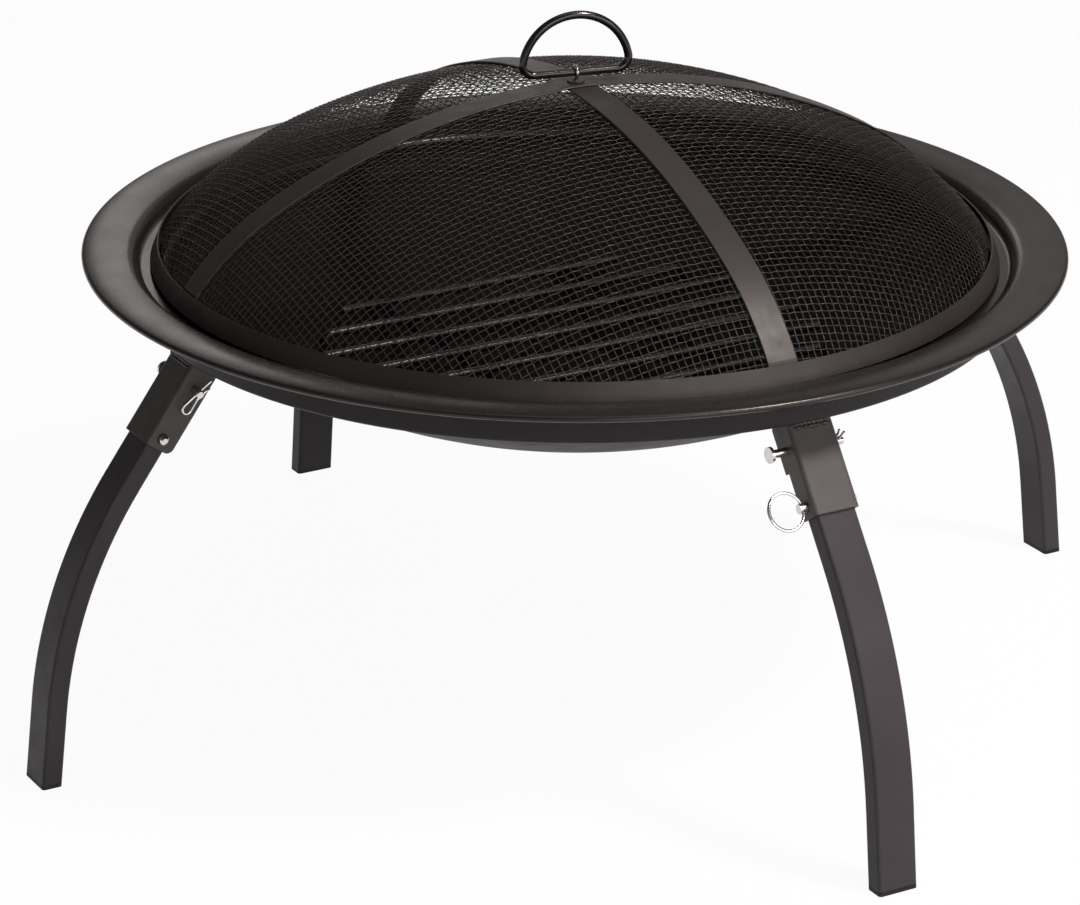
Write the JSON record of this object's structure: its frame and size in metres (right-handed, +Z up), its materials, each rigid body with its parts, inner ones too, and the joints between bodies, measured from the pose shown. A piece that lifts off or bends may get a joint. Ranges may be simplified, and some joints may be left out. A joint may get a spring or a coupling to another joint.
{
  "type": "folding fire pit",
  "caption": "Round dished fire bowl on folding curved legs with lock pins, a domed spark screen with a bail handle and a loose log grate inside.",
  "frame": {"origin": "on the ground below the middle of the bowl", "axes": "+Z up; the legs stand on the X and Y axes, the straight bar of the handle lies near X"},
  "size_m": [0.8148, 0.8148, 0.4667],
  "materials": {
    "black_paint": "satin black heat-proof paint",
    "screen_paint": "satin warm black paint",
    "gloss_paint": "gloss black",
    "grate_steel": "dull black",
    "zinc": "bright zinc plate",
    "plug_plastic": "black moulded plastic"
  },
  "bodies": {
    "base": {"fire_bowl": "black_paint", "support_ring": "black_paint", "leg_bracket_1": "black_paint", "leg_bracket_2": "black_paint", "leg_bracket_3": "black_paint", "leg_bracket_4": "black_paint", "pivot_pin_1": "zinc", "pivot_pin_2": "zinc", "pivot_pin_3": "zinc", "pivot_pin_4": "zinc", "retaining_clip_1": "zinc", "retaining_clip_2": "zinc", "retaining_clip_3": "zinc", "retaining_clip_4": "zinc"},
    "leg_1": {"leg_tube_1": "black_paint", "foot_plug_1": "plug_plastic"},
    "lock_1": {"lock_pin_1": "zinc"},
    "pull_1": {"pull_ring_1": "zinc"},
    "leg_2": {"leg_tube_2": "black_paint", "foot_plug_2": "plug_plastic"},
    "lock_2": {"lock_pin_2": "zinc"},
    "pull_2": {"pull_ring_2": "zinc"},
    "leg_3": {"leg_tube_3": "black_paint", "foot_plug_3": "plug_plastic"},
    "lock_3": {"lock_pin_3": "zinc"},
    "pull_3": {"pull_ring_3": "zinc"},
    "leg_4": {"leg_tube_4": "black_paint", "foot_plug_4": "plug_plastic"},
    "lock_4": {"lock_pin_4": "zinc"},
    "pull_4": {"pull_ring_4": "zinc"},
    "screen": {"screen_mesh": "screen_paint", "screen_ring": "screen_paint", "lower_strap": "screen_paint", "upper_strap": "screen_paint", "handle_eye": "gloss_paint", "eye_washer": "gloss_paint", "eye_nut": "zinc"},
    "handle": {"lid_handle": "gloss_paint"},
    "grate": {"grate_rods": "grate_steel", "grate_cross_bars": "grate_steel"}
  },
  "joints": [
    {"name": "leg_fold_1", "type": "hinge", "parent": "base", "child": "leg_1", "pos_m": [0.29136, 0, 0.25915], "axis": [0, 1, 0], "range_deg": [0, 95]},
    {"name": "lock_pull_1", "type": "slide", "parent": "base", "child": "lock_1", "axis": [0, -1, 0], "range_m": [0, 0.045]},
    {"name": "ring_swing_1", "type": "hinge", "parent": "lock_1", "child": "pull_1", "pos_m": [0.31502, -0.0186, 0.22999], "axis": [-0.5878, 0, 0.809], "range_deg": [-5, 165]},
    {"name": "leg_fold_2", "type": "hinge", "parent": "base", "child": "leg_2", "pos_m": [0, 0.29136, 0.25915], "axis": [-1, 0, 0], "range_deg": [0, 95]},
    {"name": "lock_pull_2", "type": "slide", "parent": "base", "child": "lock_2", "axis": [1, 0, 0], "range_m": [0, 0.045]},
    {"name": "ring_swing_2", "type": "hinge", "parent": "lock_2", "child": "pull_2", "pos_m": [0.0186, 0.31502, 0.22999], "axis": [0, -0.5878, 0.809], "range_deg": [-5, 165]},
    {"name": "leg_fold_3", "type": "hinge", "parent": "base", "child": "leg_3", "pos_m": [-0.29136, 0, 0.25915], "axis": [0, -1, 0], "range_deg": [0, 95]},
    {"name": "lock_pull_3", "type": "slide", "parent": "base", "child": "lock_3", "axis": [0, 1, 0], "range_m": [0, 0.045]},
    {"name": "ring_swing_3", "type": "hinge", "parent": "lock_3", "child": "pull_3", "pos_m": [-0.31502, 0.0186, 0.22999], "axis": [0.5878, 0, 0.809], "range_deg": [-5, 165]},
    {"name": "leg_fold_4", "type": "hinge", "parent": "base", "child": "leg_4", "pos_m": [0, -0.29136, 0.25915], "axis": [1, 0, 0], "range_deg": [0, 95]},
    {"name": "lock_pull_4", "type": "slide", "parent": "base", "child": "lock_4", "axis": [-1, 0, 0], "range_m": [0, 0.045]},
    {"name": "ring_swing_4", "type": "hinge", "parent": "lock_4", "child": "pull_4", "pos_m": [-0.0186, -0.31502, 0.22999], "axis": [0, 0.5878, 0.809], "range_deg": [-85, 85]},
    {"name": "screen_lift", "type": "slide", "parent": "base", "child": "screen", "axis": [0, 0, 1], "range_m": [0, 0.3]},
    {"name": "handle_flop", "type": "hinge", "parent": "screen", "child": "handle", "pos_m": [0, 0, 0.4248], "axis": [0.9753, -0.2207, 0], "range_deg": [-95, 95]},
    {"name": "grate_lift", "type": "slide", "parent": "base", "child": "grate", "axis": [0, 0, 1], "range_m": [0, 0.13]}
  ]
}
